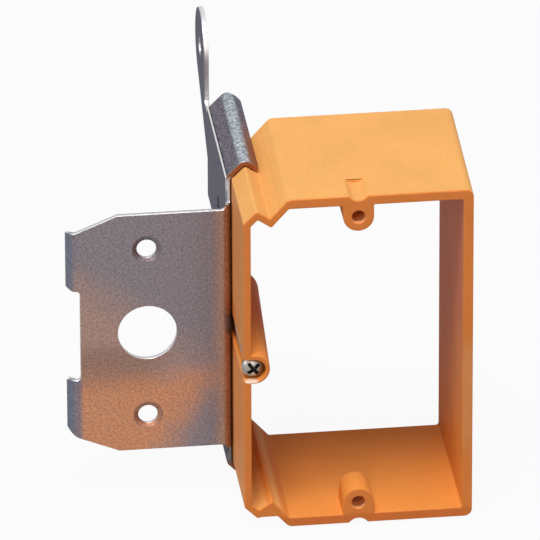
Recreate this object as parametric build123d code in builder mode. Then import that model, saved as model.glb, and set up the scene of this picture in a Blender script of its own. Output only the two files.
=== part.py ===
from build123d import *
import os
from math import asin, atan2, cos, degrees, hypot, radians, sin, sqrt, tan

# Adjustable low voltage mounting bracket for one device: a moulded frame on a folded steel bracket.
# Millimetres. The origin is midway between the two device screw holes, on the frame's front face.
# +X is to the right seen from the room, +Y goes back into the wall and +Z is up.

# Frame: overall sizes
frame_width = 59.6
frame_depth = 46.2
frame_wall = 2.6
left_wall = 1.9  # of the left side and of its folded corners
wall_draft = 0.9  # degrees that the other walls' outsides open towards the back
outer_corner_radius = 2.0
inner_corner_radius = 0.8

# Frame: lugs for the device screws
device_spacing = 83.34
device_edge = 5.95  # from a device hole to the outside of the wall beyond it
device_hole_radius = 1.8
lug_radius = 4.0
lug_length = 9.8

# Frame: half-round coring groove in the outer face over each lug
coring_radius = 2.9
coring_depth = 1.3
coring_length = 10.0

# Frame: dovetail ridge and groove along both left-hand corners
ridge_rise = 3.5  # from the left wall in to the ridge's tip, at 45 degrees
ridge_below_top = 2.8
ridge_round = 0.8
groove_run = 3.45  # from the ridge's tip across to the groove's bottom
groove_drop = 2.35
shoulder_run = 4.6  # from the groove's bottom across to the top wall
shoulder_round = 2.3

# Frame: stop across the front of the lower groove
stop_height = 1.9
stop_thickness = 1.5

# Frame: boss that holds the adjusting screw against the left wall
screw_inset = 2.6  # from the outside of the left wall to the screw's axis
screw_height = -1.2
boss_wall = 0.8  # in front
boss_lift = 0.35  # of the boss's middle over the screw's axis
boss_draft = 2.9  # degrees that its side opens towards the back
boss_length = 44.5
web_thickness = 2.4
snap_squeeze = 0.2  # how far each side of the web's mouth grips the screw's neck

# Adjusting screw
head_radius = 2.95
head_height = 2.3
head_rim = 0.8
head_recess = 0.9  # from the frame's front face to the top of the head
neck_radius = 1.5
shank_radius = 2.05
shank_end_gap = 0.9  # from the screw's tip to the frame's back edge
shank_chamfer = 0.7
cross_span = 3.8
cross_width = 0.9
cross_depth = 1.4
cross_turn = 40.0  # degrees that the screw was left turned by

# Running fits of the screw
head_clearance = 0.2
neck_clearance = 0.1
end_play = 0.1
thread_clearance = 0.08

# Bracket: sheet and folds
sheet = 1.3
bend_radius = 0.9  # inside
slide_clearance = 0.35
lip_gap = 0.7  # from the rail's lip to the groove's far side

# Bracket: rails and side plate
flange_setback = 23.8  # from the frame's front face back to the flange
rail_length = 40.5
lip_corner_radius = 2.2

# Bracket: flange over the stud's face
flange_half_height = 34.4
flange_mid_height = -0.7
flange_fillet = 1.3
stud_gap = 39.5  # from the side plate to the hooks' folds
hook_length = 2.1
hook_angle = 45.0
hook_top = 29.8
hook_bottom = 13.0
hook_round = 3.0  # of the upper hook's lower end
tip_round = 1.6  # of the lower hook's upper end
tail_round = 6.5  # of its lower end
shoulder_width = 28.4  # of the flange's full height, from the side plate
notch_depth = 1.2
notch_round = 1.0
nail_spacing = 48.5
nail_inset = 20.8  # from the side plate to the nail holes
nail_hole_radius = 2.55
dimple_radius = 3.85
dimple_angle = 130.0
large_hole_radius = 7.7

# Bracket: window, arms and nailing ear at the back of the side plate
window_half_height = 16.6
slit_width = 1.6
slit_length = 11.4
arm_elbow = 27.4  # height at which the arm begins to slope back to its ear
ear_radius = 10.2
ear_reach = 57.5  # from the front of the side plate to the ear's middle
ear_rise = 4.4  # of the ear's middle over the frame's top
ear_hole_radius = 2.55
relief_floor = 40.4
relief_round = 1.0

# Bracket: lanced tab that the screw is threaded through
tab_reach = 17.9  # from the front of the side plate to the tab's back face
tab_half_height = 3.0
tab_clearance = 0.35

# Places that follow from the sizes above
left = -frame_width / 2
right = frame_width / 2
top = device_spacing / 2 + device_edge
tip_x = left + ridge_rise
tip_z = top - ridge_below_top
groove_x = tip_x + groove_run
groove_z = tip_z - groove_drop
shoulder_x = groove_x + shoulder_run
drift = frame_depth * tan(radians(wall_draft))
shoulder_drift = drift * shoulder_run / (top - groove_z)
screw_x = left + screw_inset
channel_radius = tab_half_height + tab_clearance
boss_radius = channel_radius + boss_wall
head_back = head_recess + head_height
web_front = head_back + end_play
web_back = web_front + web_thickness
plate_in = left - slide_clearance
plate_out = plate_in - sheet
plate_front = flange_setback + sheet + bend_radius
rail_back = plate_front + rail_length
flange_back = flange_setback + sheet
fold_x = plate_out - stud_gap
tab_back = plate_front + tab_reach
tab_front = tab_back - sheet
window_front = tab_front - bend_radius
ear_y = plate_front + ear_reach
ear_z = top + ear_rise


def across(depth):
    """The upright plane that lies a depth behind the frame's front face."""
    return Plane.XZ.offset(-depth)


def outline_points(draft):
    """The frame's outside, drawn where the draft has opened its top, bottom and right walls by so much."""
    corner = [
        (left, tip_z - ridge_rise),
        (tip_x, tip_z),
        (groove_x, groove_z),
        (shoulder_x + draft * shoulder_run / (top - groove_z), top + draft),
        (right + draft, top + draft),
    ]
    return [*corner, *((x, -z) for x, z in reversed(corner))]


def rail_points(side):
    """The inside of a rail around the frame's ridge, from the side plate to the end of the lip."""
    lean = atan2(groove_drop, groove_run)
    apex_x = tip_x + slide_clearance * (1 - sqrt(2) * cos(lean)) / (sin(lean) + cos(lean))
    apex_z = tip_z + slide_clearance * sqrt(2) + apex_x - tip_x
    lip = hypot(groove_run, groove_drop) - lip_gap
    return [
        (plate_in, side * (apex_z - apex_x + plate_in)),
        (apex_x, side * apex_z),
        (apex_x + lip * cos(lean), side * (apex_z - lip * sin(lean))),
    ]


def long_edges(part, x, z):
    """The edges from front to back whose middles lie at a place across the frame, up and down."""
    return part.edges().filter_by(
        lambda edge: edge.length > frame_depth / 2
        and abs(edge.center().X - x) < 0.01
        and abs(abs(edge.center().Z) - z) < 0.01
    )


with BuildPart() as box_frame:
    # Four walls, open in front and behind, with a ridge and a groove along the left-hand corners
    for depth, draft in ((0, 0), (frame_depth, drift)):
        with BuildSketch(across(depth)):
            with BuildLine():
                Polyline(*outline_points(draft), close=True)
            make_face()
    loft(ruled=True)
    with BuildSketch(across(0)):
        with BuildLine():
            Polyline(*outline_points(0), close=True)
        make_face()
        offset(amount=-left_wall, kind=Kind.INTERSECTION)
        with Locations((right - frame_wall, 0)):
            Rectangle(
                frame_width, 2 * (top - frame_wall), align=(Align.MAX, Align.CENTER), mode=Mode.INTERSECT
            )
    extrude(amount=-frame_depth, mode=Mode.SUBTRACT)
    fillet(long_edges(box_frame, right + drift / 2, top + drift / 2), outer_corner_radius)
    fillet(long_edges(box_frame, right - frame_wall, top - frame_wall), inner_corner_radius)
    fillet(long_edges(box_frame, tip_x, tip_z), ridge_round)
    fillet(long_edges(box_frame, shoulder_x + shoulder_drift / 2, top + drift / 2), shoulder_round)

    # Stop across the front of the lower groove
    with BuildSketch(across(0)):
        with BuildLine():
            Polyline(
                (groove_x, -groove_z),
                (groove_x - stop_height * groove_run / groove_drop, -groove_z - stop_height),
                (groove_x + stop_height * shoulder_run / (top - groove_z), -groove_z - stop_height),
                close=True,
            )
        make_face()
    extrude(amount=-stop_thickness)

    # Lugs that the device is screwed to, joined to the walls above and below them
    with BuildSketch(across(0)):
        for side in (1, -1):
            with Locations((0, side * device_spacing / 2)):
                Circle(lug_radius)
            with Locations((0, side * (top - frame_wall / 2 - (device_edge - frame_wall / 2) / 2))):
                Rectangle(2 * lug_radius, device_edge - frame_wall / 2)
    extrude(amount=-lug_length)
    with BuildSketch(across(0)):
        with GridLocations(1, device_spacing, 1, 2):
            Circle(device_hole_radius)
    extrude(amount=-lug_length, mode=Mode.SUBTRACT)
    with BuildSketch(across(0)):
        with GridLocations(1, 2 * (top + coring_radius - coring_depth), 1, 2):
            Circle(coring_radius)
    extrude(amount=-coring_length, mode=Mode.SUBTRACT)

    # Boss along the left wall, open to the left, that the adjusting screw snaps into from the side
    boss_back_radius = boss_radius + boss_length * tan(radians(boss_draft))
    boss_height = screw_height + boss_lift
    with Locations(Plane(origin=(screw_x, 0, boss_height), x_dir=(1, 0, 0), z_dir=(0, 1, 0))):
        Cone(boss_radius, boss_back_radius, boss_length, align=(Align.CENTER, Align.CENTER, Align.MIN))
    with BuildSketch(across(0)):
        with Locations((left, screw_height)):
            Rectangle(boss_back_radius, 4 * boss_back_radius, align=(Align.MAX, Align.CENTER))
    extrude(amount=-frame_depth, mode=Mode.SUBTRACT)
    for start, end, radius, half_mouth in (
        (0, web_front, head_radius + head_clearance, head_radius + head_clearance),
        (web_front, web_back, neck_radius + neck_clearance, neck_radius - snap_squeeze),
        (web_back, frame_depth, channel_radius, channel_radius),
    ):
        with BuildSketch(across(start)):
            with Locations((screw_x, screw_height)):
                Circle(radius)
                Rectangle(2 * screw_inset, 2 * half_mouth, align=(Align.MAX, Align.CENTER))
        extrude(amount=start - end, mode=Mode.SUBTRACT)

with BuildPart() as adjusting_screw:
    # Domed head, neck held by the web and a plain shank of the thread's outside diameter
    shank_end = frame_depth - shank_end_gap
    with BuildSketch(Plane(origin=(screw_x, 0, screw_height), x_dir=(1, 0, 0), z_dir=(0, 0, 1))):
        with BuildLine():
            dome = TangentArc((0, head_recess), (head_radius, head_back - head_rim), tangent=(1, 0))
            Polyline(
                dome @ 1,
                (head_radius, head_back),
                (neck_radius, head_back),
                (neck_radius, web_back + end_play),
                (shank_radius, web_back + end_play),
                (shank_radius, shank_end - shank_chamfer),
                (shank_radius - shank_chamfer, shank_end),
                (0, shank_end),
                dome @ 0,
            )
        make_face()
    revolve(axis=Axis((screw_x, 0, screw_height), (0, 1, 0)))
    with BuildSketch(across(head_recess)):
        with Locations(Location((screw_x, screw_height), cross_turn)):
            Rectangle(cross_span, cross_width)
            Rectangle(cross_width, cross_span)
    extrude(amount=-cross_depth, mode=Mode.SUBTRACT)

with BuildPart() as flange:
    # Flange with its fold to the side plate and its hooked edge, seen from above
    hook_run = hook_length * cos(radians(hook_angle))
    full_height = flange_half_height + flange_fillet
    with BuildSketch(Plane.XY.offset(flange_mid_height)):
        with BuildLine():
            FilletPolyline(
                (plate_out, plate_front + sheet),
                (plate_out, flange_back),
                (fold_x, flange_back),
                (fold_x - hook_run, flange_back + hook_length * sin(radians(hook_angle))),
                radius=bend_radius,
            )
            offset(amount=sheet, side=Side.LEFT)
        make_face()
    extrude(amount=full_height, both=True)

    # Its outline seen from the front: sloping shoulders, two hooks and a notch between them
    with BuildSketch(Plane(origin=(0, 0, flange_mid_height), x_dir=(1, 0, 0), z_dir=(0, -1, 0))):
        hook_x = fold_x - hook_length - bend_radius
        notch_x = fold_x + notch_depth
        flange_x = plate_out - shoulder_width
        tail = hook_top - (flange_half_height - hook_top) * (fold_x - hook_x) / (flange_x - fold_x)
        with BuildLine():
            fold = Polyline(
                (plate_out, full_height),
                (plate_in, full_height),
                (plate_in, -full_height),
                (plate_out, -full_height),
            )
            upper = TangentArc(fold @ 0, (plate_out - flange_fillet, flange_half_height), tangent=(0, -1))
            lower = TangentArc(fold @ 1, (plate_out - flange_fillet, -flange_half_height), tangent=(0, 1))
            Polyline(
                upper @ 1, (flange_x, flange_half_height), (fold_x, hook_top), (hook_x, hook_top)
            )
            FilletPolyline(
                (hook_x, hook_top),
                (hook_x, hook_bottom),
                (notch_x, hook_bottom),
                (notch_x, -hook_bottom),
                (hook_x, -hook_bottom),
                (hook_x, -tail),
                (flange_x, -flange_half_height),
                radius=[hook_round, notch_round, notch_round, tip_round, tail_round],
            )
            Line((flange_x, -flange_half_height), lower @ 1)
        make_face()
    extrude(amount=-2 * plate_front, mode=Mode.INTERSECT)

    # Dished nail holes and the large hole midway between them
    for height in (nail_spacing / 2, -nail_spacing / 2):
        with Locations(
            Plane(
                origin=(plate_out - nail_inset, flange_setback, flange_mid_height + height),
                x_dir=(1, 0, 0),
                z_dir=(0, -1, 0),
            )
        ):
            CounterSinkHole(nail_hole_radius, dimple_radius, counter_sink_angle=dimple_angle)
    with BuildSketch(across(flange_setback)):
        with Locations((plate_out - nail_inset, flange_mid_height)):
            Circle(large_hole_radius)
    extrude(amount=-sheet, mode=Mode.SUBTRACT)

with BuildPart() as stud_bracket:
    # Side plate with a rail folded around each of the frame's ridges
    with BuildSketch(across(plate_front)):
        with BuildLine():
            FilletPolyline(*reversed(rail_points(-1)), *rail_points(1), radius=bend_radius)
            offset(amount=sheet, side=Side.LEFT)
        make_face()
    extrude(amount=-rail_length)
    fillet(
        stud_bracket.edges().filter_by(
            lambda edge: abs(edge.center().Y - rail_back) < 0.01 and abs(edge.length - sheet) < 0.01
        ),
        lip_corner_radius,
    )

    # Window at the back of the side plate, with a slit up and down from its front corners
    with BuildSketch(Plane.YZ.offset(plate_out)):
        with Locations((window_front, 0)):
            Rectangle(
                rail_back - window_front, 2 * window_half_height, align=(Align.MIN, Align.CENTER)
            )
            Rectangle(
                slit_width, 2 * (window_half_height + slit_length), align=(Align.MIN, Align.CENTER)
            )
    extrude(amount=sheet, mode=Mode.SUBTRACT)

    # Upper arm, sloping back to a round ear that is nailed to the stud's side
    with BuildSketch(Plane.YZ.offset(plate_out)):
        with BuildLine():
            run = ear_y - rail_back
            rise = ear_z - arm_elbow
            slope = degrees(atan2(rise, run) - asin(ear_radius / hypot(run, rise)))
            rim = CenterArc((ear_y, ear_z), ear_radius, slope - 90, 270 - slope)
            FilletPolyline(
                rim @ 1,
                (ear_y - ear_radius, relief_floor),
                (rail_back - sheet, relief_floor),
                radius=relief_round,
            )
            Polyline(
                (rail_back - sheet, relief_floor),
                (rail_back - sheet, arm_elbow),
                (rail_back, arm_elbow),
                rim @ 0,
            )
        make_face()
        with Locations((ear_y, ear_z)):
            Circle(ear_hole_radius, mode=Mode.SUBTRACT)
    extrude(amount=sheet)

    add(flange.part)

    # Tab folded in from the window's front edge, drilled for the screw's thread
    with BuildSketch(Plane.XY.offset(screw_height)):
        with BuildLine():
            FilletPolyline(
                (plate_in, window_front - sheet),
                (plate_in, tab_front),
                (screw_x, tab_front),
                radius=bend_radius,
            )
            offset(amount=sheet, side=Side.LEFT)
        make_face()
    extrude(amount=tab_half_height, both=True)
    with BuildSketch(across(tab_front)):
        with Locations((screw_x, screw_height)):
            Circle(tab_half_height)
    extrude(amount=-sheet)
    with BuildSketch(across(tab_front)):
        with Locations((screw_x, screw_height)):
            Circle(shank_radius + thread_clearance)
    extrude(amount=-sheet, mode=Mode.SUBTRACT)

os.makedirs("parts", exist_ok=True)
box_frame.part.label = "box_frame"
stud_bracket.part.label = "stud_bracket"
adjusting_screw.part.label = "adjusting_screw"
export_step(box_frame.part, "parts/box_frame.step")
export_step(stud_bracket.part, "parts/stud_bracket.step")
export_step(adjusting_screw.part, "parts/adjusting_screw.step")
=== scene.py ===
"""Looks of an adjustable low voltage mounting bracket: moulded frame, folded steel bracket and screw."""

import logging
from dataclasses import dataclass, field
from enum import Enum
from math import ceil, pi, radians
from typing import Any

import bmesh
import bpy
from mathutils import Matrix, Vector
from mathutils.bvhtree import BVHTree
from mathutils.geometry import area_tri, tessellate_polygon


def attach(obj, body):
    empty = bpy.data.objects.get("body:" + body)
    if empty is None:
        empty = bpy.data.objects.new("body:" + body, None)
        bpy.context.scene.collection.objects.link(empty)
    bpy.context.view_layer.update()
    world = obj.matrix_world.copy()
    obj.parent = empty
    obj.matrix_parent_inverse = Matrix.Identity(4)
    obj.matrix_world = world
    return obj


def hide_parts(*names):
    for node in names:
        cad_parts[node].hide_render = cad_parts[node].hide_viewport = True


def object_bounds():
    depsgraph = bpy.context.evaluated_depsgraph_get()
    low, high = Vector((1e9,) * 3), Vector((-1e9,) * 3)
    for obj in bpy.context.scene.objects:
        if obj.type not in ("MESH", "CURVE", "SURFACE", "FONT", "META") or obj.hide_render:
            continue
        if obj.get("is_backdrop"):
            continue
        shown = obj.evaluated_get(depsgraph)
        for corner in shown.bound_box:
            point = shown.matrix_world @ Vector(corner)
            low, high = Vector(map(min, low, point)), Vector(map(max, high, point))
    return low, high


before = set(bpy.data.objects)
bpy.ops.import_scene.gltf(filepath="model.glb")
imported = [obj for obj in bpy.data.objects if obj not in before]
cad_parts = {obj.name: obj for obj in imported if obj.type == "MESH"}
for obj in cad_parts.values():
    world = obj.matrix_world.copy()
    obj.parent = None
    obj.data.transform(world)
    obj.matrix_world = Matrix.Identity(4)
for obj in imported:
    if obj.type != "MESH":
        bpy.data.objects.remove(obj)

LOG = logging.getLogger("mounting_bracket")
MM = 0.001  # metres in a millimetre
IMAGE_PIXELS = 540  # width and height of the picture
SENSOR_MM = 36.0
MERGE_MM = 0.001  # vertices nearer than this are one
FLAT_DEG = 0.1  # faces that meet at less than this are joined into one
SHARP_DEG = 20.0  # edges that turn by more than this are sharp
FACE_WEIGHT = 100  # lets the large faces beside a rounding decide its shading
SPECKLE_RANGE = (0.36, 0.66)  # noise that leaves a broken patch bare, and noise that leaves it whole
END_SHARE = 1e-5  # of the shank's grid, and less than one of its rows

# Directions along the part's axes, and slants between them
LEFT, RIGHT = (-1, 0, 0), (1, 0, 0)
FRONT, BACK = (0, -1, 0), (0, 1, 0)
DOWN, UP = (0, 0, -1), (0, 0, 1)
DOWN_LEFT, UP_LEFT, UP_BACK = (-0.615, 0, -0.788), (-0.85, 0, 0.53), (0, 0.53, 0.85)

# Inputs and output of a Mix node that mixes colours
MIX_FACTOR, MIX_A, MIX_B, MIX_RESULT = 0, 6, 7, 2


class Node(Enum):
    """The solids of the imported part."""

    FRAME = "box_frame"
    BRACKET = "stud_bracket"
    SCREW = "adjusting_screw"


class Body(Enum):
    """The bodies that the joints move."""

    FRAME = "frame"
    BRACKET = "bracket"
    SCREW = "screw"


class Slot(Enum):
    """The record's material slots."""

    PLASTIC = "frame_plastic"
    SHEET = "bracket_steel"
    PLATED = "screw_steel"


def linear(colour: str) -> tuple[float, float, float, float]:
    """Turns an sRGB hex value into a linear colour.

    Args:
        colour: the value, such as #E08A35.

    Returns:
        Red, green and blue from 0 to 1, and an alpha of 1.
    """
    parts = [int(colour[i : i + 2], 16) / 255 for i in (1, 3, 5)]
    red, green, blue = (c / 12.92 if c <= 0.04045 else ((c + 0.055) / 1.055) ** 2.4 for c in parts)
    return red, green, blue, 1.0


def per_metre(size_mm: float) -> float:
    """Gives the texture scale whose features are this many millimetres apart."""
    return 1 / (size_mm * MM)


def add_node(
    tree: bpy.types.NodeTree, kind: str, inputs: dict[str | int, Any] | None = None, **settings: Any
) -> bpy.types.Node:
    """Adds a node with its settings, values and links.

    Args:
        tree: the tree that gets the node.
        kind: Blender's name for the kind of node.
        inputs: a value or another node's output for each input, by name or number.
        settings: the node's own attributes.

    Returns:
        The new node.
    """
    node = tree.nodes.new(kind)
    for name, value in settings.items():
        setattr(node, name, value)
    for key, value in (inputs or {}).items():
        if isinstance(value, bpy.types.NodeSocket):
            tree.links.new(value, node.inputs[key])
        else:
            node.inputs[key].default_value = value
    return node


def new_material(name: str) -> tuple[bpy.types.Material, bpy.types.NodeTree, bpy.types.NodeSocket]:
    """Makes a material with nothing but its place on the piece.

    Args:
        name: what the material is called.

    Returns:
        The material, its tree, and the socket that gives the place in metres.
    """
    material = bpy.data.materials.new(name)
    material.use_nodes = True
    tree = material.node_tree
    tree.nodes.clear()
    return material, tree, add_node(tree, "ShaderNodeTexCoord").outputs["Object"]


@dataclass(frozen=True)
class Border:
    """A straight border of a patch, which lies on the side that the direction points to."""

    toward: tuple[float, float, float]
    start_mm: float  # along the direction, from the origin
    fade_mm: float
    ragged_mm: float = 0.0  # how far clouds shift it

    def depth(self, tree: bpy.types.NodeTree, place: bpy.types.NodeSocket) -> bpy.types.NodeSocket:
        """Measures how far a place lies along the direction.

        Args:
            tree: the material's tree.
            place: the place on the piece, in metres.

        Returns:
            The socket that gives the distance from the origin, in metres.
        """
        return add_node(
            tree, "ShaderNodeVectorMath", {0: place, 1: self.toward}, operation="DOT_PRODUCT"
        ).outputs["Value"]


@dataclass(frozen=True)
class RoundBorder:
    """The border of a round patch."""

    centre_mm: tuple[float, float, float]
    radius_mm: float
    fade_mm: float
    ragged_mm: float = 0.0  # how far clouds shift it

    @property
    def start_mm(self) -> float:
        """Gives the depth at which the patch starts."""
        return -self.radius_mm

    def depth(self, tree: bpy.types.NodeTree, place: bpy.types.NodeSocket) -> bpy.types.NodeSocket:
        """Measures how far a place lies towards the centre.

        Args:
            tree: the material's tree.
            place: the place on the piece, in metres.

        Returns:
            The socket that gives the distance from the centre, in metres and below zero.
        """
        centre = tuple(c * MM for c in self.centre_mm)
        away = add_node(
            tree, "ShaderNodeVectorMath", {0: place, 1: centre}, operation="DISTANCE"
        ).outputs["Value"]
        return add_node(tree, "ShaderNodeMath", {0: away, 1: -1.0}, operation="MULTIPLY").outputs["Value"]


@dataclass(frozen=True)
class Patch:
    """A part of a surface painted another colour, for a stain or wear, or for painted light and shade."""

    colour: str
    strength: float
    borders: tuple[Border | RoundBorder, ...]
    speckle_mm: float = 0.0  # size of the blotches that break the patch up, if any

    def lay(
        self,
        tree: bpy.types.NodeTree,
        place: bpy.types.NodeSocket,
        cloud: bpy.types.NodeSocket,
        colour: bpy.types.NodeSocket | tuple[float, ...],
    ) -> bpy.types.NodeSocket:
        """Lays the patch over a surface's colour.

        Args:
            tree: the material's tree.
            place: the place on the piece, in metres.
            cloud: values from 0 to 1 that shift the borders.
            colour: the surface's colour.

        Returns:
            The socket of the new colour.
        """
        cover: bpy.types.NodeSocket | float = self.strength
        for border in self.borders:
            along = border.depth(tree, place)
            if border.ragged_mm:
                along = add_node(
                    tree,
                    "ShaderNodeMath",
                    {0: cloud, 1: border.ragged_mm * MM, 2: along},
                    operation="MULTIPLY_ADD",
                ).outputs["Value"]
            start = (border.start_mm + border.ragged_mm / 2) * MM
            inside = add_node(
                tree,
                "ShaderNodeMapRange",
                {"Value": along, "From Min": start, "From Max": start + border.fade_mm * MM},
                interpolation_type="SMOOTHSTEP",
            ).outputs["Result"]
            cover = add_node(
                tree, "ShaderNodeMath", {0: inside, 1: cover}, operation="MULTIPLY"
            ).outputs["Value"]
        if self.speckle_mm:
            blotch = add_node(
                tree,
                "ShaderNodeTexNoise",
                {"Vector": place, "Scale": per_metre(self.speckle_mm), "Detail": 3.0},
            ).outputs["Fac"]
            bare, whole = SPECKLE_RANGE
            kept = add_node(
                tree, "ShaderNodeMapRange", {"Value": blotch, "From Min": bare, "From Max": whole}
            ).outputs["Result"]
            cover = add_node(
                tree, "ShaderNodeMath", {0: cover, 1: kept}, operation="MULTIPLY"
            ).outputs["Value"]
        return add_node(
            tree,
            "ShaderNodeMix",
            {MIX_FACTOR: cover, MIX_A: colour, MIX_B: linear(self.colour)},
            data_type="RGBA",
        ).outputs[MIX_RESULT]


# Where the frame's surface has changed colour, or has painted light and shade, in the part's own frame
# Painted sheen: a paler colour that stands in for light on the outside faces
PAINTED_SHEEN = "#E9AC64"
DEVICE_HOLE_MM = 41.67  # above and below the middle
BEHIND_FRONT = Border(BACK, 0.2, 0.5)
FRONT_EDGE = Border(FRONT, -0.2, 0.1)
FRAME_PATCHES = (
    # Its outside is painted paler, a painted sheen of light from above: top, bottom, right, left and the
    # left's shoulders
    *(
        Patch(colour, 0.85, (*borders, BEHIND_FRONT))
        for colour, *borders in (
            (PAINTED_SHEEN, Border(UP, 45.5, 0.4)),
            (PAINTED_SHEEN, Border(DOWN, 45.5, 0.4)),
            (PAINTED_SHEEN, Border(RIGHT, 28.9, 0.5)),
            ("#E4995E", Border(LEFT, 29.2, 0.4)),
            (PAINTED_SHEEN, Border(LEFT, 19.5, 1.0), Border(UP, 40.6, 0.6)),
            (PAINTED_SHEEN, Border(LEFT, 19.5, 1.0), Border(DOWN, 40.6, 0.6)),
        )
    ),
    # Painted shade darkens its front edge, most along the bottom; on the right, low down, the front edge is
    # paler
    Patch("#DC823F", 1.0, (FRONT_EDGE,)),
    Patch("#D17436", 0.9, (FRONT_EDGE, Border(DOWN, 44.6, 0.8))),
    Patch(
        "#D8915A",
        0.8,
        (
            FRONT_EDGE,
            Border(RIGHT, 26.9, 0.3),
            Border(DOWN, -8.0, 10.0),
            Border(UP, -32.0, 10.0),
        ),
    ),
    # Painted shade darkens the inside of its right wall towards the top
    Patch(
        "#C77352",
        0.86,
        (
            Border(RIGHT, 26.9, 0.2),
            Border(LEFT, -27.8, 0.3),
            Border(UP_BACK, -17.0, 44.0),
            Border(DOWN, -45.3, 0.2),
            BEHIND_FRONT,
        ),
    ),
    # Painted light makes the device holes paler inside, and painted shade makes the back of the boss redder
    *(
        Patch("#F3B883", 0.9, (RoundBorder((0, 2.0, z), 2.6, 0.4),))
        for z in (DEVICE_HOLE_MM, -DEVICE_HOLE_MM)
    ),
    Patch(
        "#DC7028",
        0.9,
        (
            Border(BACK, 10.0, 22.0),
            Border(LEFT, 20.0, 0.5),
            Border(UP, -9.0, 1.0),
            Border(DOWN, -8.0, 1.0),
        ),
    ),
    # A painted highlight lightens the rim of the boss
    Patch(
        "#F8DCC8",
        0.8,
        (RoundBorder((-28.5, 0, -4.3), 2.9, 1.3), RoundBorder((-27.2, 0, -0.85), 4.3, 0.15)),
    ),
)


@dataclass(frozen=True)
class MouldedPVC:
    """Rigid PVC, injection moulded in a spark-eroded tool.

    The tool leaves an even fine grain that blurs reflections, and the melt's flow leaves faint clouds.
    """

    name: str = "moulded_rigid_pvc"
    colour: str = "#E38E3F"
    patches: tuple[Patch, ...] = FRAME_PATCHES
    mottle: tuple[float, float] = (1.08, 0.92)  # shares of the colour in the lightest and darkest spots
    mottle_range: tuple[float, float] = (0.75, 1.45)  # noise that gives those spots
    cloud_mm: float = 16.0
    grain_mm: float = 0.45  # the real grain is about 0.1 mm, too fine to show
    grain_weight: float = 1.2  # in the mottle, where the clouds count once
    grain_height_mm: float = 0.012
    roughness: tuple[float, float] = (0.52, 0.66)
    ior: float = 1.53
    gloss: float = 0.15

    def build(self) -> bpy.types.Material:
        """Builds the material.

        Returns:
            The material.
        """
        material, tree, place = new_material(self.name)
        cloud = add_node(
            tree, "ShaderNodeTexNoise", {"Vector": place, "Scale": per_metre(self.cloud_mm), "Detail": 3.0}
        ).outputs["Fac"]
        grain = add_node(
            tree, "ShaderNodeTexNoise", {"Vector": place, "Scale": per_metre(self.grain_mm), "Detail": 2.0}
        ).outputs["Fac"]
        spots = add_node(
            tree, "ShaderNodeMath", {0: grain, 1: self.grain_weight, 2: cloud}, operation="MULTIPLY_ADD"
        ).outputs["Value"]
        share = add_node(
            tree,
            "ShaderNodeMapRange",
            {
                "Value": spots,
                "From Min": self.mottle_range[0],
                "From Max": self.mottle_range[1],
                "To Min": self.mottle[0],
                "To Max": self.mottle[1],
            },
        ).outputs["Result"]
        colour: bpy.types.NodeSocket | tuple[float, ...] = linear(self.colour)
        for patch in self.patches:
            colour = patch.lay(tree, place, cloud, colour)
        mixed = add_node(
            tree,
            "ShaderNodeMix",
            {MIX_FACTOR: 1.0, MIX_A: colour, MIX_B: share},
            data_type="RGBA",
            blend_type="MULTIPLY",
        ).outputs[MIX_RESULT]
        rough = add_node(
            tree,
            "ShaderNodeMapRange",
            {"Value": grain, "To Min": self.roughness[0], "To Max": self.roughness[1]},
        ).outputs["Result"]
        bump = add_node(
            tree, "ShaderNodeBump", {"Height": grain, "Distance": self.grain_height_mm * MM, "Strength": 1.0}
        ).outputs["Normal"]
        shader = add_node(
            tree,
            "ShaderNodeBsdfPrincipled",
            {
                "Base Color": mixed,
                "Roughness": rough,
                "Normal": bump,
                "IOR": self.ior,
                "Specular IOR Level": self.gloss,
            },
        ).outputs["BSDF"]
        add_node(tree, "ShaderNodeOutputMaterial", {"Surface": shader})
        return material


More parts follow.
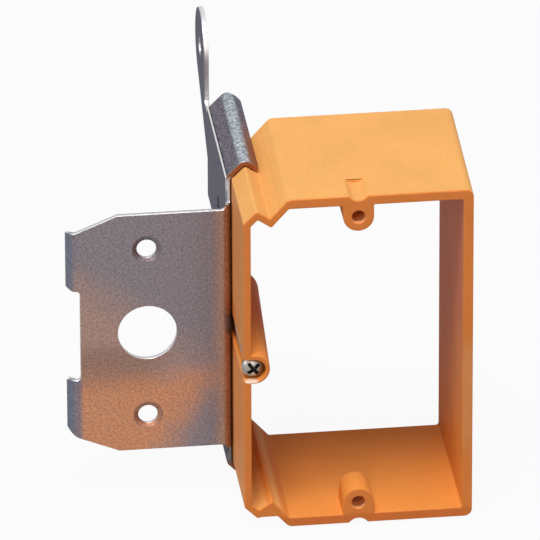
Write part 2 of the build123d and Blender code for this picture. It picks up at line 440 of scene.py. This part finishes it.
# Where the bracket's surface has changed colour, or has painted light and shade, in the part's own frame
FLANGE_FACE = Border(FRONT, -24.7, 0.4)
FLANGE_FOLD = Border(FRONT, -26.3, 0.6)
RAIL_BACK = Border(FRONT, -67.0, 0.2)
SLITS = (
    Border(BACK, 41.0, 0.6),
    Border(FRONT, -44.0, 0.6),
    Border(UP, -28.6, 0.4),
    Border(DOWN, -28.6, 0.4),
)
SHEET_PATCHES = (
    # A painted warm reflection lies low on the flange, and along its fold to the side plate
    Patch(
        "#C99C86",
        0.6,
        (
            Border(DOWN_LEFT, 24.0, 14.0, 12.0),
            Border(UP_LEFT, 14.0, 14.0, 12.0),
            FLANGE_FACE,
        ),
    ),
    Patch(
        "#E09A6E",
        0.75,
        (
            Border(DOWN, 8.0, 10.0, 10.0),
            Border(UP_LEFT, 17.0, 11.0, 10.0),
            FLANGE_FACE,
        ),
    ),
    Patch("#C2A08A", 0.8, (Border(RIGHT, -36.0, 4.0, 2.5), FLANGE_FOLD)),
    # Below its large hole the flange is a little soiled
    Patch(
        "#7A5A4C",
        0.36,
        (
            Border(DOWN, 2.0, 6.0, 3.0),
            Border(UP, -20.0, 10.0, 3.0),
            Border(LEFT, 42.0, 14.0),
            FLANGE_FACE,
        ),
    ),
    # Painted shade darkens the dished nail holes
    *(Patch("#56525A", 0.42, (RoundBorder((-52.25, 23.8, z), 4.05, 0.25),)) for z in (23.55, -24.95)),
    # Painted shade darkens the hooks and turns them bluer, the lower one further in
    *(
        Patch("#7B8091", 0.8, borders)
        for borders in ((Border(LEFT, 70.9, 1.0),), (Border(LEFT, 68.8, 1.6), Border(DOWN, 12.0, 1.0)))
    ),
    # The rails' tops carry a painted highlight, the zinc has weathered in blotches, and their lips carry a
    # painted orange reflection of the frame
    *(
        Patch(colour, strength, (*borders, RAIL_BACK), speckle_mm=blotch)
        for up in (1, -1)
        for colour, strength, blotch, *borders in (
            ("#D6DDE2", 0.9, 0.0, Border((0, 0, up), 45.3, 0.8)),
            ("#46454A", 0.66, 0.8, Border((0, 0, up), 42.0, 0.8)),
            ("#B67A54", 0.78, 0.0, Border((1, 0, up), 20.5, 0.9), Border(FRONT, -60.0, 26.0)),
        )
    ),
)
# Painted shade and highlights, which also change how it looks at a slant
SLANT_PATCHES = (
    # Painted shade darkens the sheet along the slits at the window's front edge
    Patch("#1F1F24", 0.85, SLITS),
    # A painted highlight runs along the outside of each rail's first bend, with a painted dark line beside
    # it
    *(
        Patch(
            colour,
            strength,
            (
                Border((-0.924, 0, up * 0.383), start, 0.04),
                Border(RIGHT, -33.0, 0.1),
                Border((0, 0, -up), -43.4, 0.1),
                RAIL_BACK,
            ),
        )
        for up in (1, -1)
        for colour, strength, start in (("#3A3B42", 0.8, 44.8), ("#FFFFFF", 0.95, 44.9))
    ),
)
EDGE_PATCHES = (
    # The back part of each cut has broken away, and is dull
    Patch("#6A686C", 0.85, (Border(BACK, 24.6, 0.1), Border(FRONT, -25.4, 0.1))),
    Patch("#A3A1A5", 0.7, (Border(LEFT, 31.1, 0.1), Border(BACK, 26.6, 0.2))),
    # Painted shade darkens the slits, and the cut edges below the flange
    Patch("#1F1E20", 0.9, SLITS),
    Patch("#4E4A49", 0.8, (Border(FRONT, -30.0, 0.5), Border(DOWN, 34.0, 1.0))),
    # The rails' bare front edges have a thin film of rust
    *(
        Patch("#96593C", 0.9, (Border(FRONT, -26.7, 0.2), Border((0, 0, up), 41.4, 1.0)))
        for up in (1, -1)
    ),
)


@dataclass(frozen=True)
class GalvanisedSheet:
    """Hot-dip galvanised steel sheet, rolled flat after its bath.

    Small zinc crystals give a mottled lilac grey that turns slate where it is seen at a slant.
    """

    name: str = "galvanised_steel_sheet"
    colour: str = "#968D93"
    slant: str = "#7D90A4"
    crystal_mm: float = 0.7
    pit_mm: float = 0.35
    pit_weight: float = 0.8  # in the mottle, where the crystals count once
    pit_height_mm: float = 0.0045
    cloud_mm: float = 13.0
    mottle: tuple[float, float] = (0.7, 1.3)  # shares of the colour in the darkest and lightest spots
    mottle_range: tuple[float, float] = (0.6, 1.2)  # noise that gives those spots
    roughness: tuple[float, float] = (0.36, 0.5)
    patches: tuple[Patch, ...] = SHEET_PATCHES
    slant_patches: tuple[Patch, ...] = SLANT_PATCHES

    def build(self) -> bpy.types.Material:
        """Builds the material.

        Returns:
            The material.
        """
        material, tree, place = new_material(self.name)
        crystal = add_node(
            tree, "ShaderNodeTexNoise", {"Vector": place, "Scale": per_metre(self.crystal_mm), "Detail": 2.0}
        ).outputs["Fac"]
        pit = add_node(
            tree, "ShaderNodeTexNoise", {"Vector": place, "Scale": per_metre(self.pit_mm), "Detail": 3.0}
        ).outputs["Fac"]
        cloud = add_node(
            tree, "ShaderNodeTexNoise", {"Vector": place, "Scale": per_metre(self.cloud_mm), "Detail": 4.0}
        ).outputs["Fac"]
        speckle = add_node(
            tree, "ShaderNodeMath", {0: pit, 1: self.pit_weight, 2: crystal}, operation="MULTIPLY_ADD"
        ).outputs["Value"]
        spots = add_node(
            tree,
            "ShaderNodeMapRange",
            {
                "Value": speckle,
                "From Min": self.mottle_range[0],
                "From Max": self.mottle_range[1],
                "To Min": self.mottle[0],
                "To Max": self.mottle[1],
            },
        ).outputs["Result"]
        colour: bpy.types.NodeSocket | tuple[float, ...] = linear(self.colour)
        for patch in self.patches:
            colour = patch.lay(tree, place, cloud, colour)
        colour = add_node(
            tree,
            "ShaderNodeMix",
            {MIX_FACTOR: 1.0, MIX_A: colour, MIX_B: spots},
            data_type="RGBA",
            blend_type="MULTIPLY",
        ).outputs[MIX_RESULT]
        slant: bpy.types.NodeSocket | tuple[float, ...] = linear(self.slant)
        for patch in self.slant_patches:
            colour = patch.lay(tree, place, cloud, colour)
            slant = patch.lay(tree, place, cloud, slant)
        rough = add_node(
            tree,
            "ShaderNodeMapRange",
            {"Value": crystal, "To Min": self.roughness[1], "To Max": self.roughness[0]},
        ).outputs["Result"]
        bump = add_node(
            tree, "ShaderNodeBump", {"Height": pit, "Distance": self.pit_height_mm * MM, "Strength": 1.0}
        ).outputs["Normal"]
        shader = add_node(
            tree,
            "ShaderNodeBsdfPrincipled",
            {
                "Base Color": colour,
                "Roughness": rough,
                "Normal": bump,
                "Metallic": 1.0,
                "Specular Tint": slant,
            },
        ).outputs["BSDF"]
        add_node(tree, "ShaderNodeOutputMaterial", {"Surface": shader})
        return material


@dataclass(frozen=True)
class ShearedSteel:
    """The sheet's cut edge, sheared in the press.

    The shear bares bright steel and draws fine lines across the sheet's thickness.
    """

    name: str = "sheared_steel_edge"
    dark: str = "#B9B8BC"
    light: str = "#EDECEE"
    line_mm: float = 0.4
    line_stretch: float = 6.0
    line_height_mm: float = 0.01
    roughness: float = 0.34
    patches: tuple[Patch, ...] = EDGE_PATCHES

    def build(self) -> bpy.types.Material:
        """Builds the material.

        Returns:
            The material.
        """
        material, tree, place = new_material(self.name)
        drawn = add_node(
            tree,
            "ShaderNodeMapping",
            {"Vector": place, "Scale": (1.0, 1 / self.line_stretch, 1.0)},
        ).outputs["Vector"]
        lines = add_node(
            tree, "ShaderNodeTexNoise", {"Vector": drawn, "Scale": per_metre(self.line_mm), "Detail": 3.0}
        ).outputs["Fac"]
        colour = add_node(
            tree,
            "ShaderNodeMix",
            {MIX_FACTOR: lines, MIX_A: linear(self.dark), MIX_B: linear(self.light)},
            data_type="RGBA",
        ).outputs[MIX_RESULT]
        for patch in self.patches:
            colour = patch.lay(tree, place, lines, colour)
        bump = add_node(
            tree, "ShaderNodeBump", {"Height": lines, "Distance": self.line_height_mm * MM, "Strength": 1.0}
        ).outputs["Normal"]
        shader = add_node(
            tree,
            "ShaderNodeBsdfPrincipled",
            {"Base Color": colour, "Roughness": self.roughness, "Normal": bump, "Metallic": 1.0},
        ).outputs["BSDF"]
        add_node(tree, "ShaderNodeOutputMaterial", {"Surface": shader})
        return material


@dataclass(frozen=True)
class ZincPlate:
    """Zinc plating on a rolled steel screw, dulled in use.

    The plating keeps the smooth rolled surface, with clouds of grey and a little wear.
    """

    name: str = "zinc_plated_steel"
    dark: str = "#7F7A77"
    light: str = "#D2CECA"
    cloud_mm: float = 0.9
    roughness: tuple[float, float] = (0.26, 0.42)

    def build(self) -> bpy.types.Material:
        """Builds the material.

        Returns:
            The material.
        """
        material, tree, place = new_material(self.name)
        cloud = add_node(
            tree, "ShaderNodeTexNoise", {"Vector": place, "Scale": per_metre(self.cloud_mm), "Detail": 4.0}
        ).outputs["Fac"]
        colour = add_node(
            tree,
            "ShaderNodeMix",
            {MIX_FACTOR: cloud, MIX_A: linear(self.dark), MIX_B: linear(self.light)},
            data_type="RGBA",
        ).outputs[MIX_RESULT]
        rough = add_node(
            tree,
            "ShaderNodeMapRange",
            {"Value": cloud, "To Min": self.roughness[1], "To Max": self.roughness[0]},
        ).outputs["Result"]
        shader = add_node(
            tree,
            "ShaderNodeBsdfPrincipled",
            {"Base Color": colour, "Roughness": rough, "Metallic": 1.0},
        ).outputs["BSDF"]
        add_node(tree, "ShaderNodeOutputMaterial", {"Surface": shader})
        return material


@dataclass(frozen=True)
class StudioPaper:
    """Matt pale paper under the part, which the picture shows white, with a faint shadow."""

    name: str = "pale_studio_paper"
    colour: str = "#B9B8B6"
    whiteness: float = 0.94  # share of the picture's floor that takes no shadow
    mirrored: float = 0.25  # the same share where metal mirrors the floor

    def build(self) -> bpy.types.Material:
        """Builds the material.

        Returns:
            The material.
        """
        material, tree, _ = new_material(self.name)
        paper = add_node(tree, "ShaderNodeBsdfDiffuse", {"Color": linear(self.colour)}).outputs["BSDF"]
        white = add_node(tree, "ShaderNodeEmission", {"Strength": 1.0}).outputs["Emission"]
        shown = shown_share(tree, self.whiteness, self.mirrored)
        surface = add_node(tree, "ShaderNodeMixShader", {0: shown, 1: paper, 2: white}).outputs["Shader"]
        add_node(tree, "ShaderNodeOutputMaterial", {"Surface": surface})
        return material


def shown_share(tree: bpy.types.NodeTree, seen: float, mirrored: float) -> bpy.types.NodeSocket:
    """Tells the rays that show a background from those that light the part.

    Args:
        tree: the background's tree.
        seen: the value for camera and transmission rays.
        mirrored: the value for glossy rays; all others get 0.

    Returns:
        The socket that gives the value.
    """
    path = add_node(tree, "ShaderNodeLightPath").outputs
    values = {name: path[f"Is {name} Ray"] for name in ("Camera", "Transmission", "Glossy")}
    for name, operation, *terms in (
        ("straight", "MAXIMUM", "Camera", "Transmission"),
        ("seen", "MULTIPLY", "straight", seen),
        ("mirrored", "MULTIPLY", "Glossy", mirrored),
        ("shown", "MAXIMUM", "seen", "mirrored"),
    ):
        inputs = {i: values[t] if isinstance(t, str) else t for i, t in enumerate(terms)}
        values[name] = add_node(tree, "ShaderNodeMath", inputs, operation=operation).outputs["Value"]
    return values["shown"]


def merged_copy(node: Node) -> bmesh.types.BMesh:
    """Copies a solid's mesh with its loose triangles joined and its flat faces whole.

    Args:
        node: the solid to copy.

    Returns:
        The joined mesh.
    """
    mesh = bmesh.new()
    mesh.from_mesh(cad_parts[node.value].data)
    bmesh.ops.remove_doubles(mesh, verts=mesh.verts, dist=MERGE_MM * MM)
    bmesh.ops.dissolve_limit(
        mesh, angle_limit=radians(FLAT_DEG), verts=mesh.verts, edges=mesh.edges, delimit={"MATERIAL"}
    )
    return mesh


def new_object(name: str, mesh: bmesh.types.BMesh, materials: list[bpy.types.Material]) -> bpy.types.Object:
    """Makes an object of a mesh, at the origin.

    Args:
        name: the object's name.
        mesh: its mesh, which is freed.
        materials: its materials, in the order of the faces' numbers.

    Returns:
        The object.
    """
    data = bpy.data.meshes.new(name)
    for material in materials:
        data.materials.append(material)
    mesh.to_mesh(data)
    mesh.free()
    made = bpy.data.objects.new(name, data)
    bpy.context.scene.collection.objects.link(made)
    return made


def apply_modifiers(made: bpy.types.Object) -> None:
    """Turns an object with its modifiers into a plain mesh.

    Args:
        made: the object, which keeps the mesh that its modifiers give.
    """
    shown = made.evaluated_get(bpy.context.evaluated_depsgraph_get())
    data = bpy.data.meshes.new_from_object(shown)
    made.modifiers.clear()
    old, made.data = made.data, data
    data.name = made.name
    bpy.data.meshes.remove(old)


def round_edges(made: bpy.types.Object, width_mm: float, segments: int, room: float = 0.0) -> None:
    """Rounds an object's sharp edges and shades its curved faces smooth.

    Args:
        made: the object.
        width_mm: how far each rounding reaches from its edge.
        segments: how many faces lie across a rounding.
        room: the least mean width of the faces beside an edge, as a share of the rounding's width;
            an edge with less stays sharp, and so do the edges that meet it.
    """
    mesh = bmesh.new()
    mesh.from_mesh(made.data)
    weights = mesh.edges.layers.float.new("bevel_weight_edge")
    sharp = [edge for edge in mesh.edges if edge.calc_face_angle(0) > radians(SHARP_DEG)]
    crowded = set()
    for edge in sharp:
        narrowest = min(face.calc_area() for face in edge.link_faces) / edge.calc_length()
        if narrowest < room * width_mm * MM:
            crowded.update(edge.verts)
    for edge in sharp:
        edge[weights] = float(crowded.isdisjoint(edge.verts))
    mesh.to_mesh(made.data)
    mesh.free()
    made.data.shade_smooth()
    rounding = made.modifiers.new("rounding", "BEVEL")
    rounding.limit_method = "WEIGHT"
    rounding.width = width_mm * MM
    rounding.segments = segments
    rounding.use_clamp_overlap = False
    rounding.miter_outer = "MITER_ARC"
    shading = made.modifiers.new("shading", "WEIGHTED_NORMAL")
    shading.weight = FACE_WEIGHT
    apply_modifiers(made)


@dataclass
class MouldedFrame:
    """The open frame that carries the device."""

    finish: MouldedPVC = field(default_factory=MouldedPVC)
    edge_round_mm: float = 0.3
    edge_segments: int = 3

    def build(self) -> bpy.types.Object:
        """Builds the frame with the soft edges that moulding gives.

        Returns:
            The frame's piece, dressed and riding on its body.
        """
        made = new_object("moulded_frame", merged_copy(Node.FRAME), [self.finish.build()])
        round_edges(made, self.edge_round_mm, self.edge_segments)
        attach(made, Body.FRAME.value)
        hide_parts(Node.FRAME.value)
        return made


@dataclass
class FoldedBracket:
    """The steel bracket, folded from one sheet, with bright cut edges."""

    sheet_finish: GalvanisedSheet = field(default_factory=GalvanisedSheet)
    edge_finish: ShearedSteel = field(default_factory=ShearedSteel)
    skin_mm: float = 1.75  # above the sheet's thickness, also where a dish slants through it
    edge_round_mm: float = 0.14
    edge_segments: int = 2
    edge_room: float = 1.0  # where the tab and the flange are bent, some faces are too narrow to round

    def build(self) -> bpy.types.Object:
        """Builds the bracket.

        Returns:
            The bracket's piece, dressed and riding on its body.
        """
        mesh = merged_copy(Node.BRACKET)
        self.mark_cut_edges(mesh)
        made = new_object("folded_bracket", mesh, [self.sheet_finish.build(), self.edge_finish.build()])
        round_edges(made, self.edge_round_mm, self.edge_segments, self.edge_room)
        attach(made, Body.BRACKET.value)
        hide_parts(Node.BRACKET.value)
        return made

    def mark_cut_edges(self, mesh: bmesh.types.BMesh) -> None:
        """Gives the second material to every face that has no opposite one within a sheet's thickness.

        Args:
            mesh: the bracket's mesh.
        """
        tree = BVHTree.FromBMesh(mesh)
        for face in mesh.faces:
            start = inner_point(face) - face.normal * MERGE_MM * MM
            through = tree.ray_cast(start, -face.normal)[3]
            face.material_index = 0 if through is not None and through / MM < self.skin_mm else 1


def inner_point(face: bmesh.types.BMFace) -> Vector:
    """Gives a point that lies on a face, also where the face is not convex.

    Args:
        face: the face.

    Returns:
        The middle of the largest triangle that fills the face.
    """
    corners = [v.co for v in face.verts]
    if len(corners) == 3:
        return sum(corners, Vector()) / 3
    triangles = [[corners[i] for i in t] for t in tessellate_polygon([corners])]
    largest = max(triangles, key=lambda t: area_tri(*t))
    return sum(largest, Vector()) / 3


@dataclass
class AdjustingScrew:
    """The captive screw: a head and neck, and a shank with a rolled thread."""

    finish: ZincPlate = field(default_factory=ZincPlate)
    # The cross recess gets dark plating, a painted shade of the recess
    recess_finish: ZincPlate = ZincPlate("recess_shade_zinc_plate", "#262322", "#494543")
    axis_mm: tuple[float, float] = (-27.2, -1.2)  # across and up
    recess_floor_mm: float = 2.35  # behind the frame's front edge
    dome_slant: tuple[float, float] = (0.05, 0.99)  # only the dome faces forward by a share between these
    neck_cut_mm: float = 5.6  # behind the frame's front edge
    neck_overlap_mm: float = 0.5
    thread_start_mm: float = 5.8  # behind the frame's front edge
    thread_end_mm: float = 45.3  # behind the frame's front edge
    crest_mm: float = 2.05
    root_mm: float = 1.62
    tip_mm: float = 1.35
    pitch_mm: float = 25.4 / 32
    crest_flat: float = 1 / 8  # share of the pitch
    root_flat: float = 1 / 4  # share of the pitch
    rows_per_turn: int = 16
    faces_around: int = 28
    edge_round_mm: float = 0.1
    edge_segments: int = 2

    def build(self) -> bpy.types.Object:
        """Builds the screw.

        Returns:
            The screw's piece, dressed and riding on its body.
        """
        materials = [self.finish.build(), self.recess_finish.build()]
        head = self.head(materials)
        shank = self.shank(materials[0])
        mesh = bmesh.new()
        for piece in (head, shank):
            mesh.from_mesh(piece.data)
            bpy.data.objects.remove(piece)
        made = new_object("threaded_screw", mesh, materials)
        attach(made, Body.SCREW.value)
        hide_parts(Node.SCREW.value)
        return made

    def head(self, materials: list[bpy.types.Material]) -> bpy.types.Object:
        """Cuts the head and neck from the solid, with the neck's end reaching into the shank.

        Args:
            materials: the screw's material, and the dark one that paints shade into the cross recess.

        Returns:
            The head as an object.
        """
        mesh = merged_copy(Node.SCREW)
        least, most = self.dome_slant
        for face in mesh.faces:
            in_front = face.calc_center_median().y < self.recess_floor_mm * MM
            face.material_index = 1 if in_front and not least < -face.normal.y < most else 0
        cut = self.neck_cut_mm * MM
        geometry = mesh.verts[:] + mesh.edges[:] + mesh.faces[:]
        bmesh.ops.bisect_plane(
            mesh, geom=geometry, plane_co=(0, cut, 0), plane_no=(0, 1, 0), clear_outer=True
        )
        rim = [edge for edge in mesh.edges if edge.is_boundary]
        bmesh.ops.contextual_create(mesh, geom=rim)
        for vertex in {v for edge in rim for v in edge.verts}:
            vertex.co.y += self.neck_overlap_mm * MM
        bmesh.ops.recalc_face_normals(mesh, faces=mesh.faces)
        made = new_object("screw_head", mesh, materials)
        round_edges(made, self.edge_round_mm, self.edge_segments)
        return made

    def shank(self, material: bpy.types.Material) -> bpy.types.Object:
        """Rolls the threaded shank with a node tree.

        Args:
            material: the screw's material.

        Returns:
            The shank as an object.
        """
        made = new_object("screw_shank", bmesh.new(), [material])
        tree, sockets = self.thread_tree()
        rolling = made.modifiers.new("rolling", "NODES")
        rolling.node_group = tree
        values = {
            "Axis": Vector((self.axis_mm[0] * MM, 0, self.axis_mm[1] * MM)),
            "Start": self.thread_start_mm * MM,
            "End": self.thread_end_mm * MM,
            "Pitch": self.pitch_mm * MM,
            "Root Radius": self.root_mm * MM,
            "Crest Radius": self.crest_mm * MM,
            "Tip Radius": self.tip_mm * MM,
            "Material": material,
        }
        for name, value in values.items():
            rolling[sockets[name]] = value
        apply_modifiers(made)
        made.data.polygons.foreach_set("material_index", [0] * len(made.data.polygons))
        bpy.data.node_groups.remove(tree)
        return made

    def thread_tree(self) -> tuple[bpy.types.NodeTree, dict[str, str]]:
        """Builds the node tree that rolls a grid into a threaded shank, closed at both ends.

        Returns:
            The tree, and the identifier of each of its inputs by name.
        """
        tree = bpy.data.node_groups.new("rolled_thread", "GeometryNodeTree")
        kinds = {
            "Axis": "NodeSocketVector",
            "Start": "NodeSocketFloat",
            "End": "NodeSocketFloat",
            "Pitch": "NodeSocketFloat",
            "Root Radius": "NodeSocketFloat",
            "Crest Radius": "NodeSocketFloat",
            "Tip Radius": "NodeSocketFloat",
            "Material": "NodeSocketMaterial",
        }
        sockets = {
            name: tree.interface.new_socket(name, in_out="INPUT", socket_type=kind).identifier
            for name, kind in kinds.items()
        }
        tree.interface.new_socket("Geometry", in_out="OUTPUT", socket_type="NodeSocketGeometry")
        given = add_node(tree, "NodeGroupInput").outputs
        turns = ceil((self.thread_end_mm - self.thread_start_mm) / self.pitch_mm) + 1
        grid = add_node(
            tree,
            "GeometryNodeMeshGrid",
            {
                "Size X": 1.0,
                "Size Y": 1.0,
                "Vertices X": self.faces_around + 1,
                "Vertices Y": turns * self.rows_per_turn + 1,
            },
        ).outputs["Mesh"]
        spot = add_node(tree, "GeometryNodeInputPosition").outputs["Position"]
        sides = add_node(tree, "ShaderNodeSeparateXYZ", {"Vector": spot}).outputs
        values: dict[str, bpy.types.NodeSocket] = {"x": sides["X"], "y": sides["Y"]}
        values |= {name: given[name] for name in kinds}
        for name, operation, *terms in (
            ("around", "ADD", "x", 0.5),
            ("along", "ADD", "y", 0.5),
            # Each row of the grid keeps one place across the thread's form and climbs one pitch a turn
            ("turn", "MULTIPLY_ADD", "along", float(turns), -1.0),
            ("climbed", "ADD", "turn", "around"),
            ("climb", "MULTIPLY_ADD", "climbed", "Pitch", "Start"),
            ("clear of start", "MAXIMUM", "climb", "Start"),
            ("depth", "MINIMUM", "clear of start", "End"),
            # The form is a V of 60 degrees, flat on top and at the root
            ("shifted", "ADD", "turn", 1.0),
            ("across", "FRACT", "shifted"),
            ("slant", "MULTIPLY_ADD", "across", 2.0, -1.0),
            ("from middle", "ABSOLUTE", "slant"),
            ("rise", "SUBTRACT", 1.0, "from middle"),
            ("above root", "SUBTRACT", "rise", self.root_flat),
            ("steep", "DIVIDE", "above root", 1 - self.root_flat - self.crest_flat),
            ("capped", "MINIMUM", "steep", 1.0),
            ("form", "MAXIMUM", "capped", 0.0),
            # It runs out at the neck, and the point is chamfered
            ("from start", "SUBTRACT", "depth", "Start"),
            ("runout", "DIVIDE", "from start", "Pitch"),
            ("full", "MINIMUM", "runout", 1.0),
            ("height", "MULTIPLY", "form", "full"),
            ("tall", "SUBTRACT", "Crest Radius", "Root Radius"),
            ("thread", "MULTIPLY_ADD", "height", "tall", "Root Radius"),
            ("to end", "SUBTRACT", "End", "depth"),
            ("point", "ADD", "to end", "Tip Radius"),
            ("pointed", "MINIMUM", "thread", "point"),
            # The grid's first and last rows close the ends
            ("past first", "GREATER_THAN", "along", END_SHARE),
            ("before last", "LESS_THAN", "along", 1 - END_SHARE),
            ("inside", "MULTIPLY", "past first", "before last"),
            ("radius", "MULTIPLY", "pointed", "inside"),
            ("angle", "MULTIPLY", "around", 2 * pi),
            ("sine", "SINE", "angle"),
            ("cosine", "COSINE", "angle"),
            ("out", "MULTIPLY", "radius", "sine"),
            ("up", "MULTIPLY", "radius", "cosine"),
        ):
            inputs = {i: values[t] if isinstance(t, str) else t for i, t in enumerate(terms)}
            values[name] = add_node(tree, "ShaderNodeMath", inputs, operation=operation).outputs["Value"]
        ring = add_node(
            tree, "ShaderNodeCombineXYZ", {"X": values["out"], "Y": values["depth"], "Z": values["up"]}
        ).outputs["Vector"]
        placed = add_node(tree, "ShaderNodeVectorMath", {0: ring, 1: given["Axis"]}).outputs["Vector"]
        rolled = add_node(tree, "GeometryNodeSetPosition", {"Geometry": grid, "Position": placed})
        closed = add_node(
            tree,
            "GeometryNodeMergeByDistance",
            {"Geometry": rolled.outputs["Geometry"], "Distance": MERGE_MM * MM},
        )
        smooth = add_node(tree, "GeometryNodeSetShadeSmooth", {"Geometry": closed.outputs["Geometry"]})
        real = add_node(tree, "GeometryNodeRealizeInstances", {"Geometry": smooth.outputs["Geometry"]})
        dressed = add_node(
            tree,
            "GeometryNodeSetMaterial",
            {"Geometry": real.outputs["Geometry"], "Material": given["Material"]},
        )
        add_node(tree, "NodeGroupOutput", {"Geometry": dressed.outputs["Geometry"]})
        return tree, sockets


@dataclass(frozen=True)
class Lamp:
    """A square soft box."""

    name: str
    place_m: tuple[float, float, float]
    size_m: float
    watts: float
    colour: str = "#FFFFFF"

    def build(self, target: Vector) -> None:
        """Hangs the lamp and turns it to the part.

        Args:
            target: the point that it faces, in metres.
        """
        light = bpy.data.lights.new(self.name, "AREA")
        light.energy = self.watts
        light.size = self.size_m
        light.color = linear(self.colour)[:3]
        made = bpy.data.objects.new(self.name, light)
        made.location = self.place_m
        made.rotation_euler = (target - made.location).to_track_quat("-Z", "Y").to_euler()
        bpy.context.scene.collection.objects.link(made)


@dataclass
class Studio:
    """The floor, the lamps, the background and the camera."""

    paper: StudioPaper = field(default_factory=StudioPaper)
    floor_half_m: float = 4.0
    ambient: float = 0.12  # the background's light on the part, as a share of how bright it shows
    camera_place_mm: tuple[float, float, float] = (-303.751, -2351.359, 1256.376)
    camera_turn_deg: float = 6.8093  # to the right of straight back
    camera_dip_deg: float = 27.4179
    camera_roll_deg: float = -0.2099
    focal_pixels: float = 10390.0
    view_depth_m: float = 20.0
    lamps: tuple[Lamp, ...] = (
        Lamp("key_soft_box", (-0.25, -0.45, 1.6), 0.7, 28.0, "#F4FAFF"),
        Lamp("fill_soft_box", (-0.3, -1.35, 0.8), 0.8, 4.8, "#FFD6B6"),
        Lamp("left_soft_box", (-1.3, -0.3, 0.4), 0.6, 2.6),
        Lamp("right_soft_box", (1.3, -0.3, 0.45), 0.6, 3.4, "#FFE8D4"),
    )

    def build(self, lowest: Vector, highest: Vector) -> None:
        """Builds the studio around the part.

        Args:
            lowest: the part's lowest corner.
            highest: its highest corner.
        """
        self.lay_floor(lowest.z)
        self.light_background()
        for lamp in self.lamps:
            lamp.build((lowest + highest) / 2)
        self.place_camera()
        bpy.context.scene.view_settings.view_transform = "Standard"

    def lay_floor(self, height: float) -> None:
        """Lays the paper under the part.

        Args:
            height: the paper's height, in metres.
        """
        mesh = bmesh.new()
        bmesh.ops.create_grid(mesh, x_segments=1, y_segments=1, size=self.floor_half_m)
        bmesh.ops.translate(mesh, verts=mesh.verts, vec=(0, 0, height))
        new_object("paper_floor", mesh, [self.paper.build()])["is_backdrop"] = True

    def light_background(self) -> None:
        """Gives a white background that lights the part more dimly than it shows."""
        world = bpy.data.worlds.new("studio_background")
        world.use_nodes = True
        tree = world.node_tree
        tree.nodes.clear()
        strength = add_node(
            tree,
            "ShaderNodeMapRange",
            {"Value": shown_share(tree, 1.0, 1.0), "To Min": self.ambient, "To Max": 1.0},
        ).outputs["Result"]
        glow = add_node(
            tree, "ShaderNodeBackground", {"Color": (1.0, 1.0, 1.0, 1.0), "Strength": strength}
        ).outputs["Background"]
        add_node(tree, "ShaderNodeOutputWorld", {"Surface": glow})
        bpy.context.scene.world = world

    def place_camera(self) -> None:
        """Puts the camera where the photograph was taken from."""
        camera = bpy.data.cameras.new("photo_camera")
        camera.sensor_width = SENSOR_MM
        camera.lens = self.focal_pixels * SENSOR_MM / IMAGE_PIXELS
        camera.clip_end = self.view_depth_m
        made = bpy.data.objects.new("photo_camera", camera)
        turn = (
            Matrix.Rotation(radians(-self.camera_turn_deg), 4, "Z")
            @ Matrix.Rotation(radians(90 - self.camera_dip_deg), 4, "X")
            @ Matrix.Rotation(radians(self.camera_roll_deg), 4, "Z")
        )
        made.matrix_world = Matrix.Translation([c * MM for c in self.camera_place_mm]) @ turn
        bpy.context.scene.collection.objects.link(made)
        bpy.context.scene.camera = made


def main() -> None:
    """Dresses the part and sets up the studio."""
    logging.basicConfig(level=logging.INFO, format="%(name)s: %(message)s")
    solid_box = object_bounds()
    for assembly in (MouldedFrame(), FoldedBracket(), AdjustingScrew()):
        made = assembly.build()
        LOG.info("%s has %d faces", made.name, len(made.data.polygons))
    Studio().build(*solid_box)


if __name__ == "__main__":
    main()
